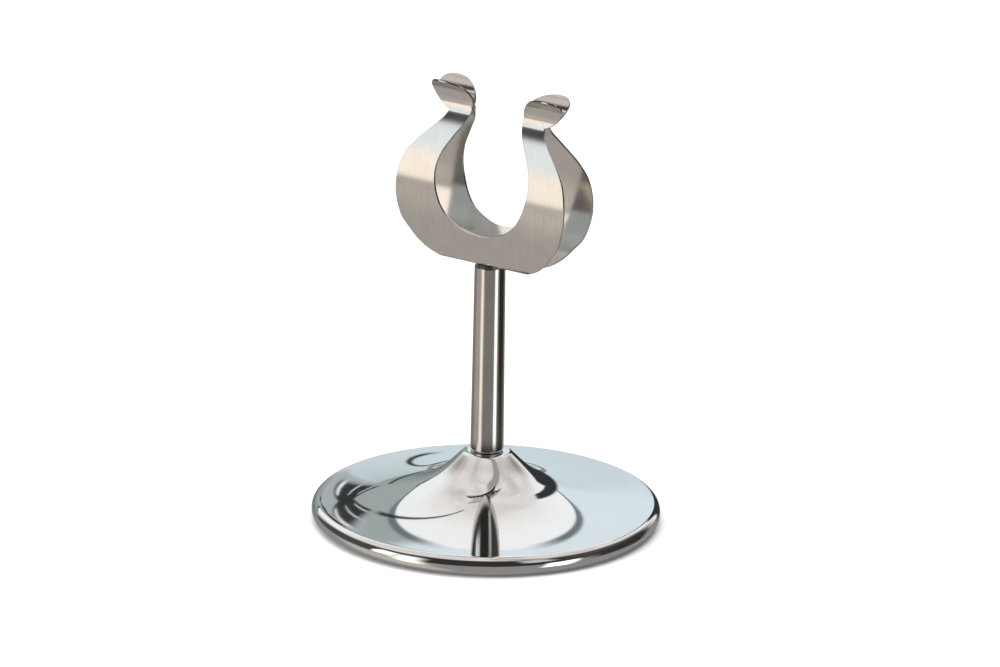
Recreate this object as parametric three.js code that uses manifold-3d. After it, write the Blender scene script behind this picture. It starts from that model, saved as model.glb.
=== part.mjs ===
// Spring-clip stand: a round weighted base, an upright stem and a horseshoe-shaped clip of folded
// spring sheet. Units are millimetres, +Z is up, X runs along the width of the clip, and the origin
// is the centre of the face that the stand rests on.
import * as THREE from 'three';
import { mergeVertices } from 'three/addons/utils/BufferGeometryUtils.js';
import Module from 'manifold-3d';

const wasm = await Module();
wasm.setup();

// ---- driving dimensions -------------------------------------------------------------------------

const running = 0.2; // radial clearance round every screw
const jointGap = 0.3; // slit between the clip's web and each leaf

const base = {
  radius: 38, // to the outside of the rolled rim
  lift: 0.3, // the rim hangs this far above the table
  rimRadius: 2.05, // outer radius of the rolled rim's section
  sheet: 0.7, // thickness of the spun sheet
  seatHeight: 15.9, // top of the raised centre, where the stem stands
  seatRadius: 3.95,
  browReach: 1.01, // how far the seat's level carries into the rounded brow outside it
  shoulderRadius: 5.4,
  shoulderDrop: 0.41,
  steepPull: [10.5, 10.7], // radius and height that shape the trumpet below the shoulder
  flatPull: [12.1, 6.49], // and where it levels out
  rimEntry: 85, // where the trumpet runs into the rim's section, degrees above level
  rimEnd: -188, // where the rim's curl stops, on the same scale
};

const pad = { radius: 31, thickness: 1.2 };

const ballast = {
  radius: 30.5,
  plateThickness: 1.3,
  edgeChamfer: 0.4,
  rampRadius: 19, // the plate starts to rise here; each rise is above the flat plate
  rampRise: 0.4,
  coneRadius: 13,
  coneRise: 2.2,
  waistRadius: 7.3,
  waistRise: 6.8,
  bossRadius: 3.9,
  bossHeight: 1, // straight part under the base's seat
  pocketRadius: 5.2, // room for the head of the screw
  pocketTop: 7.2,
};

const stem = {
  footRadius: 3.62,
  topRadius: 3.36,
  topHeight: 58.7,
  footRounding: 0.8,
  topChamfer: 0.5,
  tappedDepth: 9,
  drillPoint: 1, // depth of the cone that the drill leaves past each hole
};

const baseScrew = { radius: 2, length: 18, headRadius: 3.9, headHeight: 2.4, recess: 1.3, slot: 1.1 };
const flatWasher = { outer: 4.6, thickness: 0.8 };
const lockWasher = { outer: 3.8, thickness: 1.0, split: 0.5 };
const clipScrew = { radius: 1.25, length: 8, headRadius: 1.85, headHeight: 1.3, recess: 0.7, slot: 0.6 };

const clip = {
  sheet: 0.5,
  webHalfFlat: 1.9, // half the depth of the flat web
  bendRadius: 0.6, // all radii are to the middle of the sheet
  flange: 0.3, // short straight end of the web past each bend
  leafAngle: 24.8, // outward angle of a leaf where it leaves the bend, degrees from vertical
  bellyRadius: 32.7,
  neckAngle: 30.6, // inward angle where the belly meets the neck
  neckRadius: 5.14,
  lipAngle: 72, // outward angle at the top of the strip, just past the tips of the ears
  lean: 4.6, // both leaves lean back by this much
};

// Front outline of the clip: half-widths at heights above the underside of the web.
const outerEdge = [
  [10.3, 0], [13.6, 1.15], [16.2, 3], [18.2, 5.3], [20.5, 8.6], [21.7, 14.6],
  [20.8, 20.6], [18.5, 24.6], [14.8, 28.6], [12.7, 31.1], [12.1, 33.4],
];
const innerEdge = [
  [0, 7], [6.1, 8.6], [10, 12.2], [11.9, 18], [11.4, 22.8], [9.2, 27.2], [7.1, 30.8], [6.4, 34],
];

// Each ear is an oval on the flat sheet, tilted up towards the outside of the clip.
const ear = { centreX: 11.6, pastNeck: 2.1, halfLength: 5.45, halfWidth: 3.75, tilt: 29 };

// How finely round things are faceted.
const facets = {
  base: 48,
  bar: 40,
  screw: 32,
  rimTop: 5, // from the trumpet to the rim's outermost circle
  rimCurl: 9, // and on round to the end of the curl
  trumpet: 12, // down the trumpet's section
  bend: 6, // round each bend of the clip
  sweep: 14, // along each of a leaf's long curves
  ear: 32,
};

// ---- materials ----------------------------------------------------------------------------------

function steel(color, roughness) {
  return new THREE.MeshStandardMaterial({ color, roughness, metalness: 1 });
}

const mirrorSteel = () => steel(0xd4d8d8, 0.05);
const stemSteel = () => steel(0xb9b4ac, 0.2);
const clipSteel = () => steel(0xb3ada5, 0.3);
const screwSteel = () => steel(0xa8a8a4, 0.35);
const castIron = () => new THREE.MeshStandardMaterial({ color: 0x4a4a4c, roughness: 0.7, metalness: 0.8 });
const blackFoam = () => new THREE.MeshStandardMaterial({ color: 0x202022, roughness: 0.9, metalness: 0 });

// ---- helpers ------------------------------------------------------------------------------------

function toSolid(geometry) {
  const bare = geometry.clone();
  bare.deleteAttribute('normal');
  bare.deleteAttribute('uv');
  const merged = mergeVertices(bare, 1e-5);
  return new wasm.Manifold(new wasm.Mesh({
    numProp: 3,
    vertProperties: new Float32Array(merged.attributes.position.array),
    triVerts: new Uint32Array(merged.index.array),
  }));
}

function toGeometry(solid) {
  const { numProp, vertProperties, triVerts } = solid.getMesh();
  const positions = new Float32Array((vertProperties.length / numProp) * 3);
  for (let i = 0; i < positions.length / 3; i += 1) {
    positions.set(vertProperties.subarray(i * numProp, i * numProp + 3), i * 3);
  }
  const geometry = new THREE.BufferGeometry();
  geometry.setAttribute('position', new THREE.BufferAttribute(positions, 3));
  geometry.setIndex(new THREE.BufferAttribute(new Uint32Array(triVerts), 1));
  geometry.computeVertexNormals();
  return geometry;
}

function mesh(name, geometry, material) {
  const made = new THREE.Mesh(geometry, material);
  made.name = name;
  return made;
}

// Turns a section, given as [radius, height] points, round the Z axis. A section whose ends are not
// both on the axis is closed into a ring.
function turned(section, segments) {
  const points = section.map(([r, z]) => new THREE.Vector2(r, z));
  const meetsAxis = points[0].x === 0 && points.at(-1).x === 0;
  if (!meetsAxis) points.push(points[0].clone());
  if (THREE.ShapeUtils.area(points) < 0) points.reverse();
  return new THREE.LatheGeometry(points, segments).rotateX(Math.PI / 2);
}

// Points of an arc in the section plane, from one angle to another in degrees.
function arc(centre, radius, from, to, steps) {
  const points = [];
  for (let i = 0; i <= steps; i += 1) {
    const a = THREE.MathUtils.degToRad(from + ((to - from) * i) / steps);
    points.push([centre[0] + radius * Math.cos(a), centre[1] + radius * Math.sin(a)]);
  }
  return points;
}

// Moves an open line of points sideways by a distance, to the left of its direction if positive.
function offset(points, distance) {
  return points.map((point, i) => {
    const before = points[Math.max(i - 1, 0)];
    const after = points[Math.min(i + 1, points.length - 1)];
    const length = Math.hypot(after[0] - before[0], after[1] - before[1]);
    const alongX = (after[0] - before[0]) / length;
    const alongY = (after[1] - before[1]) / length;
    return [point[0] - alongY * distance, point[1] + alongX * distance];
  });
}

function shapeOf(points) {
  return new THREE.Shape(points.map(([x, y]) => new THREE.Vector2(x, y)));
}

// Extrudes a shape drawn in (Y, Z) along X, centred on X = 0.
function extrudeAlongX(shape, length) {
  const turn = new THREE.Matrix4().makeBasis(
    new THREE.Vector3(0, 1, 0),
    new THREE.Vector3(0, 0, 1),
    new THREE.Vector3(1, 0, 0),
  );
  const geometry = new THREE.ExtrudeGeometry(shape, { depth: length, bevelEnabled: false });
  return geometry.translate(0, 0, -length / 2).applyMatrix4(turn);
}

// Extrudes a shape drawn in (X, Z) along Y, centred on Y = 0.
function extrudeAlongY(shape, length) {
  const geometry = new THREE.ExtrudeGeometry(shape, { depth: length, bevelEnabled: false });
  return geometry.translate(0, 0, -length / 2).rotateX(Math.PI / 2);
}

// ---- base ---------------------------------------------------------------------------------------

// Upper face of the spun sheet, from the hole at the centre out to the curled end of the rim.
function shellLine() {
  const rimCentre = [base.radius - base.rimRadius, base.lift + base.rimRadius];
  const shoulder = [base.shoulderRadius, base.seatHeight - base.shoulderDrop];
  const brow = new THREE.QuadraticBezierCurve(
    new THREE.Vector2(base.seatRadius, base.seatHeight),
    new THREE.Vector2(base.seatRadius + base.browReach, base.seatHeight),
    new THREE.Vector2(...shoulder),
  );
  const rimTop = arc(rimCentre, base.rimRadius, base.rimEntry, 0, facets.rimTop);
  const rimCurl = arc(rimCentre, base.rimRadius, 0, base.rimEnd, facets.rimCurl).slice(1);
  const trumpet = new THREE.CubicBezierCurve(
    new THREE.Vector2(...shoulder),
    new THREE.Vector2(...base.steepPull),
    new THREE.Vector2(...base.flatPull),
    new THREE.Vector2(...rimTop[0]),
  );
  const hole = baseScrew.radius + running;
  const inner = [[hole, base.seatHeight], [base.seatRadius, base.seatHeight]];
  const browPoints = brow.getPoints(3).slice(1).map((p) => [p.x, p.y]);
  const trumpetPoints = trumpet.getPoints(facets.trumpet).slice(1, -1).map((p) => [p.x, p.y]);
  return [...inner, ...browPoints, ...trumpetPoints, ...rimTop, ...rimCurl];
}

function baseShell() {
  const upper = shellLine();
  const lower = offset(upper, -base.sheet).reverse();
  return mesh('base_shell', turned([...upper, ...lower], facets.base), mirrorSteel());
}

function ballastPlate() {
  const bottom = pad.thickness;
  const plateTop = bottom + ballast.plateThickness;
  const bossTop = base.seatHeight - base.sheet;
  const hole = baseScrew.radius + running;
  const section = [
    [ballast.pocketRadius, bottom],
    [ballast.radius, bottom],
    [ballast.radius, plateTop - ballast.edgeChamfer],
    [ballast.radius - ballast.edgeChamfer, plateTop],
    [ballast.rampRadius, plateTop + ballast.rampRise],
    [ballast.coneRadius, plateTop + ballast.coneRise],
    [ballast.waistRadius, plateTop + ballast.waistRise],
    [ballast.bossRadius, bossTop - ballast.bossHeight],
    [ballast.bossRadius, bossTop],
    [hole, bossTop],
    [hole, ballast.pocketTop],
    [ballast.pocketRadius, ballast.pocketTop],
  ];
  return mesh('ballast_plate', turned(section, facets.bar), castIron());
}

function basePad() {
  const section = [[0, 0], [pad.radius, 0], [pad.radius, pad.thickness], [0, pad.thickness]];
  return mesh('base_pad', turned(section, facets.base), blackFoam());
}

// ---- fasteners ----------------------------------------------------------------------------------

// A screw with a round cheese head and a straight slot, head down, its head's seat at Z = 0.
function slottedScrew(screw) {
  const rounding = screw.headHeight * 0.3;
  const seatChamfer = 0.2;
  const tipRadius = screw.radius * 0.6;
  const tipStart = screw.length - (screw.radius - tipRadius);
  const section = [
    [0, -screw.headHeight],
    [screw.headRadius - rounding, -screw.headHeight],
    [screw.headRadius, -screw.headHeight + rounding],
    [screw.headRadius, -seatChamfer],
    [screw.headRadius - seatChamfer, 0],
    [screw.radius, 0],
    [screw.radius, tipStart],
    [tipRadius, screw.length],
    [0, screw.length],
  ];
  const blank = toSolid(turned(section, facets.screw));
  const slot = new THREE.BoxGeometry(screw.headRadius * 3, screw.slot, screw.recess * 2);
  slot.translate(0, 0, -screw.headHeight);
  return toGeometry(blank.subtract(toSolid(slot)));
}

function baseFasteners() {
  const washerTop = ballast.pocketTop;
  const lockTop = washerTop - flatWasher.thickness;
  const headSeat = lockTop - lockWasher.thickness;
  const hole = baseScrew.radius + running;
  const washer = mesh('base_washer', turned([
    [hole, washerTop - flatWasher.thickness],
    [flatWasher.outer, washerTop - flatWasher.thickness],
    [flatWasher.outer, washerTop],
    [hole, washerTop],
  ], facets.screw), screwSteel());
  const half = lockWasher.split / 2;
  const start = Math.asin(half / hole);
  const end = Math.asin(half / lockWasher.outer);
  const ring = new THREE.Shape();
  ring.absarc(0, 0, lockWasher.outer, end, 2 * Math.PI - end, false);
  ring.absarc(0, 0, hole, 2 * Math.PI - start, start, true);
  ring.closePath();
  const coil = new THREE.ExtrudeGeometry(ring, {
    depth: lockWasher.thickness,
    bevelEnabled: false,
    curveSegments: facets.screw / 2,
  });
  const lock = mesh('base_lock_washer', coil, screwSteel());
  lock.position.z = headSeat;
  const screw = mesh('base_screw', slottedScrew(baseScrew), screwSteel());
  screw.position.z = headSeat;
  return [washer, lock, screw];
}

function clipFastener() {
  const screw = mesh('clip_screw', slottedScrew(clipScrew), screwSteel());
  screw.rotation.x = Math.PI;
  screw.position.z = stem.topHeight + clip.sheet;
  return screw;
}

// ---- stem ---------------------------------------------------------------------------------------

// A solid bar with a tapped hole in each end.
function stemBar() {
  const bottom = base.seatHeight;
  const top = stem.topHeight;
  const lowerHole = baseScrew.radius + running;
  const upperHole = clipScrew.radius + running;
  const round = stem.footRounding;
  const section = [
    [0, bottom + stem.tappedDepth + stem.drillPoint],
    [lowerHole, bottom + stem.tappedDepth],
    [lowerHole, bottom],
    ...arc([stem.footRadius - round, bottom + round], round, -90, 0, 4),
    [stem.topRadius, top - stem.topChamfer],
    [stem.topRadius - stem.topChamfer, top],
    [upperHole, top],
    [upperHole, top - stem.tappedDepth],
    [0, top - stem.tappedDepth - stem.drillPoint],
  ];
  return mesh('stem', turned(section, facets.bar), stemSteel());
}

// ---- clip ---------------------------------------------------------------------------------------

// Sizes of the blanks that the clip is cut from, larger than the clip each way.
const clipWidth = 60;
const clipDepth = 40;

// Middle line of a bent strip in the (Y, Z) plane. Headings are in degrees from vertical, positive
// outward. A piece is either a straight length or an arc to a new heading.
function bentLine(start, heading, pieces) {
  const line = [{ y: start[0], z: start[1], heading }];
  const walk = (distance, angle) => {
    const last = line[line.length - 1];
    const a = THREE.MathUtils.degToRad(angle);
    return { y: last.y + distance * Math.sin(a), z: last.z + distance * Math.cos(a) };
  };
  for (const piece of pieces) {
    const from = line[line.length - 1].heading;
    const to = piece.to ?? from;
    const steps = piece.steps ?? 1;
    const turn = THREE.MathUtils.degToRad(Math.abs(to - from));
    const chord = piece.straight ?? 2 * piece.radius * Math.sin(turn / steps / 2);
    for (let i = 1; i <= steps; i += 1) {
      const middle = from + ((to - from) * (i - 0.5)) / steps;
      line.push({ ...walk(chord, middle), heading: from + ((to - from) * i) / steps });
    }
  }
  return line;
}

// Both faces of a strip of the clip's sheet that follows a middle line.
function faces(line) {
  const half = clip.sheet / 2;
  const face = (side) => line.map(({ y, z, heading }) => {
    const a = THREE.MathUtils.degToRad(heading);
    return [y + side * half * Math.cos(a), z - side * half * Math.sin(a)];
  });
  return { outer: face(1), inner: face(-1) };
}

// From the middle of the web, round one bend, to the end of the short flange.
function webLine(leafAngle) {
  return bentLine([0, clip.sheet / 2], 90, [
    { straight: clip.webHalfFlat },
    { radius: clip.bendRadius, to: leafAngle, steps: facets.bend },
    { straight: clip.flange },
  ]);
}

// Where the bending line of a leaf lies, above the underside of the web.
function hingePoint(leafAngle) {
  const end = webLine(leafAngle).at(-1);
  const a = THREE.MathUtils.degToRad(leafAngle);
  const reach = jointGap / 2;
  return { y: end.y + reach * Math.sin(a), z: end.z + reach * Math.cos(a) };
}

// Height of the neck's narrowest place above the underside of the web, before the leaves lean.
function neckHeight() {
  const out = THREE.MathUtils.degToRad(clip.leafAngle);
  const back = THREE.MathUtils.degToRad(clip.neckAngle);
  const start = hingePoint(clip.leafAngle).z + (jointGap / 2) * Math.cos(out);
  return start + clip.bellyRadius * (Math.sin(out) + Math.sin(back)) + clip.neckRadius * Math.sin(back);
}

// One ear as seen from the front. Its oval is drawn flat, then its height shrinks with the curl of
// the sheet past the neck.
function earShape(side) {
  const tilt = THREE.MathUtils.degToRad(ear.tilt);
  const oval = new THREE.EllipseCurve(0, 0, ear.halfLength, ear.halfWidth, 0, 2 * Math.PI, false, tilt);
  const neck = neckHeight();
  const points = oval.getPoints(facets.ear).slice(1).map((p) => {
    const turn = (p.y + ear.pastNeck) / clip.neckRadius;
    return new THREE.Vector2(side * (ear.centreX + p.x), neck + clip.neckRadius * Math.sin(turn));
  });
  return new THREE.Shape(points);
}

// Solid as deep as the clip whose front outline is the clip's: two arms joined under a U, and ears.
function outlineSolid() {
  const curve = (points) => new THREE.SplineCurve(points.map(([x, z]) => new THREE.Vector2(x, z)));
  const mirrored = (points) => points.map(([x, z]) => [-x, z]).reverse();
  const outer = curve(outerEdge).getPoints(40);
  const inner = curve([...mirrored(innerEdge), ...innerEdge.slice(1)]).getPoints(64);
  const left = outer.map((p) => new THREE.Vector2(-p.x, p.y)).reverse();
  const arms = new THREE.Shape([...outer, ...inner.reverse(), ...left]);
  const parts = [arms, earShape(1), earShape(-1)].map((shape) => toSolid(extrudeAlongY(shape, clipDepth)));
  return parts[0].add(parts[1]).add(parts[2]);
}

function leafGeometry() {
  const hinge = hingePoint(clip.leafAngle);
  const a = THREE.MathUtils.degToRad(clip.leafAngle);
  const start = [(jointGap / 2) * Math.sin(a), (jointGap / 2) * Math.cos(a)];
  const line = bentLine(start, clip.leafAngle, [
    { radius: clip.bellyRadius, to: -clip.neckAngle, steps: facets.sweep },
    { radius: clip.neckRadius, to: clip.lipAngle, steps: facets.sweep },
  ]);
  const { outer, inner } = faces(line);
  const strip = toSolid(extrudeAlongX(shapeOf([...outer, ...inner.reverse()]), clipWidth));
  return toGeometry(strip.intersect(outlineSolid().translate([0, 0, -hinge.z])));
}

// A leaf stands on its bending line, so the group's rotation leans it and its hinge flexes it.
function leaf(name, side) {
  const hinge = hingePoint(clip.leafAngle + side * clip.lean);
  const part = mesh(name, leafGeometry(), clipSteel());
  part.rotation.z = side > 0 ? 0 : Math.PI;
  const group = new THREE.Group();
  group.position.set(0, side * hinge.y, hinge.z);
  group.rotation.x = -THREE.MathUtils.degToRad(clip.lean);
  group.add(part);
  return group;
}

function clipWeb() {
  const rear = faces(webLine(clip.leafAngle + clip.lean));
  const front = faces(webLine(clip.leafAngle - clip.lean));
  const mirrored = (points) => points.map(([y, z]) => [-y, z]);
  const section = [
    ...rear.outer.slice(1),
    ...rear.inner.slice(1).reverse(),
    ...mirrored(front.inner.slice(1)),
    ...mirrored(front.outer.slice(1)).reverse(),
  ];
  const strip = toSolid(extrudeAlongX(shapeOf(section), clipWidth));
  const holeRadius = clipScrew.radius + running;
  const hole = new THREE.CylinderGeometry(holeRadius, holeRadius, 4 * clip.sheet, facets.screw);
  const web = strip.intersect(outlineSolid()).subtract(toSolid(hole.rotateX(Math.PI / 2)));
  return mesh('clip_web', toGeometry(web), clipSteel());
}

function clipAssembly() {
  const group = new THREE.Group();
  group.position.z = stem.topHeight;
  group.add(clipWeb(), leaf('front_leaf', -1), leaf('rear_leaf', 1));
  return group;
}

// ---- assembly -----------------------------------------------------------------------------------

const stand = new THREE.Group();
stand.add(baseShell(), ballastPlate(), basePad(), ...baseFasteners());
stand.add(stemBar(), clipFastener(), clipAssembly());

export default stand;
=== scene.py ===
"""Looks of a spring-clip stand: a mirror-polished round base, an upright stem and a horseshoe-shaped clip
of folded spring sheet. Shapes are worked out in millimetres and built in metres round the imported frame."""
import math

import bmesh
import bpy
import numpy as np
from mathutils import Matrix, Vector


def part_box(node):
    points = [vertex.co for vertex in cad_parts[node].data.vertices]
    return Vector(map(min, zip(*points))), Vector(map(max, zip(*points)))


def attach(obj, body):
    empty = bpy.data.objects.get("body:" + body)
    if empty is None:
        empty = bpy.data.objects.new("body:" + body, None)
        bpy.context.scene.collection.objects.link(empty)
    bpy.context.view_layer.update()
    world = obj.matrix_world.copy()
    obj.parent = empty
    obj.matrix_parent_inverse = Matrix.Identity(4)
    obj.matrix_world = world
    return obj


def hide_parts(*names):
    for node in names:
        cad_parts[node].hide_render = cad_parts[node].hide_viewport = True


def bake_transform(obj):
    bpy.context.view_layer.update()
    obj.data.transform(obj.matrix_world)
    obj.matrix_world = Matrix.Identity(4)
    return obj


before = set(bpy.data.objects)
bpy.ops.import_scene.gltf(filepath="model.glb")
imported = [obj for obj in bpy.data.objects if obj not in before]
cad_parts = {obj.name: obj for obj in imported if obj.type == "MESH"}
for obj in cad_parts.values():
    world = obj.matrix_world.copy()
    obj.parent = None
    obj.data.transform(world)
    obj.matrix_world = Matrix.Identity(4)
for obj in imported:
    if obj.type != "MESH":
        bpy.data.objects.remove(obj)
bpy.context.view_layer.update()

MM = 0.001
TINY = 1e-9

# ---- driving dimensions, in millimetres and degrees -----------------------------------------------------

SHEET_BASE = 0.7  # thickness of the spun base
RIM_RADIUS = 2.05  # outer radius of the rolled rim's section
RIM_LIFT = 0.3
RIM_END = -188.0  # where the rim's curl stops, degrees above level
BASE_HOLE = 2.2  # radius of the hole that the base's screw goes through
SEAT_RADIUS = 3.95  # flat ring that the stem stands on
BROW_REACH = 1.01  # how far the seat's level carries into the rounded brow outside it
SHOULDER_RADIUS = 5.4
SHOULDER_DROP = 0.41
STEEP_PULL = (10.5, 10.7)  # radius and height that shape the trumpet below the shoulder
FLAT_PULL = (12.1, 6.49)  # and where it levels out
RIM_ENTRY = 85.0  # where the trumpet runs into the rim's section, on RIM_END's scale
PAD_ROUNDING = 0.25

STEM_FOOT_RADIUS = 3.62
STEM_TOP_RADIUS = 3.36
STEM_ROUNDING = 0.8
STEM_CHAMFER = 0.5
STEM_SHOULDER = 0.18  # rounding between the stem's side and its top chamfer
TAPPED_DEPTH = 9.0
DRILL_POINT = 1.0

SHEET_CLIP = 0.5
WEB_HALF_FLAT = 1.9
BEND_RADIUS = 0.6
FLANGE = 0.6  # straight stretch between the bend and the belly
LEAF_ANGLE = 24.8
BELLY_RADIUS = 32.7
NECK_ANGLE = 30.6
NECK_RADIUS = 5.14
LIP_ANGLE = 72.0
LEAN = 4.6
EDGE_ROUNDING = 0.1
CLIP_HOLE = 1.45

# Front outline of the clip: half-widths at heights above the underside of the web.
OUTER_EDGE = [(10.3, 0), (13.6, 1.15), (16.2, 3), (18.2, 5.3), (20.5, 8.6), (21.7, 14.6), (20.8, 20.6),
              (18.5, 24.6), (14.8, 28.6), (12.7, 31.1), (12.1, 33.4)]
INNER_EDGE = [(0, 7), (6.1, 8.6), (10, 12.2), (11.9, 18), (11.4, 22.8), (9.2, 27.2), (7.1, 30.8), (6.4, 34)]
EAR_CENTRE_X = 11.6
EAR_PAST_NECK = 1.82
EAR_HALF_LENGTH = 5.4
EAR_HALF_WIDTH = 3.6
EAR_TILT = 29.0
EAR_TIP_CUT = 7.0  # the strip's last row crosses the ear this many degrees before the top of its oval

SCREW_HEAD_RADIUS = 1.85
SCREW_HEAD_HEIGHT = 1.3
SCREW_HEAD_ROUNDING = 0.4
SCREW_SEAT_CHAMFER = 0.2
SCREW_SHANK = 1.25
SCREW_LENGTH = 8.0
SCREW_TIP_RADIUS = 0.75
SCREW_TIP_TAPER = 0.5
SCREW_SLOT = (0.6, 1.4)  # width, and height of the block that cuts it

# ---- how finely the pieces are made ---------------------------------------------------------------------

BROW_STEPS = 14
TRUMPET_STEPS = 90
RIM_STEPS = 72
BASE_SEGMENTS = 256
PAD_STEPS = 5
PAD_SEGMENTS = 144
FOOT_STEPS = 12
SHOULDER_STEPS = 4
STEM_SEGMENTS = 128
HEAD_STEPS = 8
SCREW_SEGMENTS = 64
LENGTH_SAMPLES = 1500
OUTLINE_STEPS = 12  # between two points of the clip's outline
HOLE_ROWS = 7
BEND_ROWS = 10
FLANGE_ROWS = 11
LEAF_ROWS = 59
LEAF_ROW_CROWDING = 1.6  # above 1, rows lie closer together where the U begins
EAR_ROWS = 43
COLUMNS = 18
EDGE_TURNS = (0, 30, 60, 90)  # degrees down the strip's rounded edge

# ---- camera, in metres and degrees ----------------------------------------------------------------------

VIEW_AZIMUTH = 33.3
VIEW_ELEVATION = 18.7
VIEW_ROLL = 1.01  # the picture leans clockwise by this much
VIEW_DISTANCE = 2.0
AIM_HEIGHT = 0.0503  # point on the stem's axis that the two offsets below start from
AIM_RIGHT = 0.00227
AIM_DOWN = 0.00732
LENS = 332.8  # millimetres, like the sensor's width
SENSOR = 36
NEAR_AND_FAR = (0.05, 50)  # nearest and farthest that the camera sees


def view_axes():
    """Directions towards the camera, to its right and up, before its roll."""
    azimuth = math.radians(VIEW_AZIMUTH)
    elevation = math.radians(VIEW_ELEVATION)
    level = math.cos(elevation)
    back = Vector((math.sin(azimuth) * level, -math.cos(azimuth) * level, math.sin(elevation)))
    right = Vector((math.cos(azimuth), math.sin(azimuth), 0))
    return back, right, back.cross(right)


def add_camera():
    back, right, up = view_axes()
    roll = math.radians(VIEW_ROLL)
    right, up = right * math.cos(roll) + up * math.sin(roll), up * math.cos(roll) - right * math.sin(roll)
    aim = Vector((0, 0, AIM_HEIGHT)) + right * AIM_RIGHT - up * AIM_DOWN
    data = bpy.data.cameras.new("camera")
    data.lens = LENS
    data.sensor_width = SENSOR
    data.clip_start, data.clip_end = NEAR_AND_FAR
    camera = bpy.data.objects.new("camera", data)
    bpy.context.collection.objects.link(camera)
    place = aim + back * VIEW_DISTANCE
    camera.matrix_world = Matrix((
        (right.x, up.x, back.x, place.x),
        (right.y, up.y, back.y, place.y),
        (right.z, up.z, back.z, place.z),
        (0, 0, 0, 1),
    ))
    bpy.context.scene.camera = camera


# ---- shader nodes ---------------------------------------------------------------------------------------


class Graph:
    """Short names for the shader nodes that the materials and the surroundings are made of."""

    def __init__(self, tree):
        self.tree = tree
        tree.nodes.clear()

    def node(self, kind, **settings):
        made = self.tree.nodes.new(kind)
        for key, value in settings.items():
            setattr(made, key, value)
        return made

    def put(self, socket, value):
        if isinstance(value, bpy.types.NodeSocket):
            self.tree.links.new(value, socket)
        elif isinstance(value, (tuple, list)) and socket.type == "RGBA":
            socket.default_value = (*value, 1)
        else:
            socket.default_value = value

    def math(self, operation, a, b=0.0, clamp=False):
        made = self.node("ShaderNodeMath", operation=operation, use_clamp=clamp)
        self.put(made.inputs[0], a)
        self.put(made.inputs[1], b)
        return made.outputs[0]

    def dot(self, vector, direction):
        made = self.node("ShaderNodeVectorMath", operation="DOT_PRODUCT")
        self.put(made.inputs[0], vector)
        made.inputs[1].default_value = direction
        return made.outputs["Value"]

    def step(self, value, edge, soft):
        """0 well below the edge, 1 well above it, turning over a stretch of twice soft."""
        made = self.node("ShaderNodeMapRange", interpolation_type="SMOOTHSTEP")
        self.put(made.inputs["Value"], value)
        made.inputs["From Min"].default_value = edge - soft
        made.inputs["From Max"].default_value = edge + soft
        return made.outputs["Result"]

    def band(self, value, low, high, soft):
        above = self.step(value, low, soft)
        below = self.step(value, high, soft)
        return self.math("SUBTRACT", above, below, clamp=True)

    def both(self, a, b):
        return self.math("MULTIPLY", a, b)

    def mix(self, under, over, mask):
        made = self.node("ShaderNodeMix", data_type="RGBA")
        self.put(made.inputs["Factor"], mask)
        self.put(made.inputs["A"], under)
        self.put(made.inputs["B"], over)
        return made.outputs["Result"]

    def noise(self, vector, scale, detail=2.0):
        made = self.node("ShaderNodeTexNoise")
        self.put(made.inputs["Vector"], vector)
        made.inputs["Scale"].default_value = scale
        made.inputs["Detail"].default_value = detail
        return made.outputs["Fac"]

    def stretch(self, vector, scale):
        made = self.node("ShaderNodeMapping", vector_type="POINT")
        self.put(made.inputs["Vector"], vector)
        made.inputs["Scale"].default_value = scale
        return made.outputs["Vector"]

    def spread(self, value, low, high):
        """Turns 0 to 1 into low to high."""
        made = self.node("ShaderNodeMapRange")
        self.put(made.inputs["Value"], value)
        made.inputs["To Min"].default_value = low
        made.inputs["To Max"].default_value = high
        return made.outputs["Result"]

    def relief(self, shader, height, strength, depth):
        """Fine relief in a surface. depth is in millimetres."""
        made = self.node("ShaderNodeBump")
        made.inputs["Strength"].default_value = strength
        made.inputs["Distance"].default_value = depth * MM
        self.put(made.inputs["Height"], height)
        self.put(shader.inputs["Normal"], made.outputs["Normal"])

    def surface(self, kind, shader):
        """Links a finished shader to an output node of that kind."""
        output = self.node(kind)
        self.tree.links.new(shader.outputs[0], output.inputs["Surface"])


# ---- surroundings ---------------------------------------------------------------------------------------

TABLE_GREY = (0.27, 0.265, 0.26)
TABLE_LIT = (0.50, 0.47, 0.44)
ROOM_DARK = (0.035, 0.033, 0.032)
ROOM_SIDE = (0.07, 0.068, 0.066)
CEILING = (0.82, 0.765, 0.735)
CEILING_GAP = (0.36, 0.33, 0.31)
CEILING_DIM = (0.63, 0.59, 0.575)
WALL = (0.95, 0.955, 0.965)
PANEL_RIGHT = (0.75, 0.835, 0.89)
PANEL_DIM = (0.63, 0.73, 0.77)
PANEL_BACK = (0.48, 0.58, 0.58)
PANEL_FAR_LEFT = (0.42, 0.46, 0.48)
PANEL_LEFT = (0.36, 0.41, 0.41)
PANEL_LOW = (0.20, 0.225, 0.225)
SEAM = (0.035, 0.036, 0.038)
EDGE_GREY = (0.15, 0.18, 0.20)
CREAM = (1.45, 1.33, 1.18)
SKY_BLUE = (1.10, 1.20, 1.28)
LAMP = (1.9, 1.85, 1.8)
WINDOW = (0.55, 0.56, 0.58)
BACKDROP = (1.0, 1.0, 1.0)  # what the camera itself sees behind the stand

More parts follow.
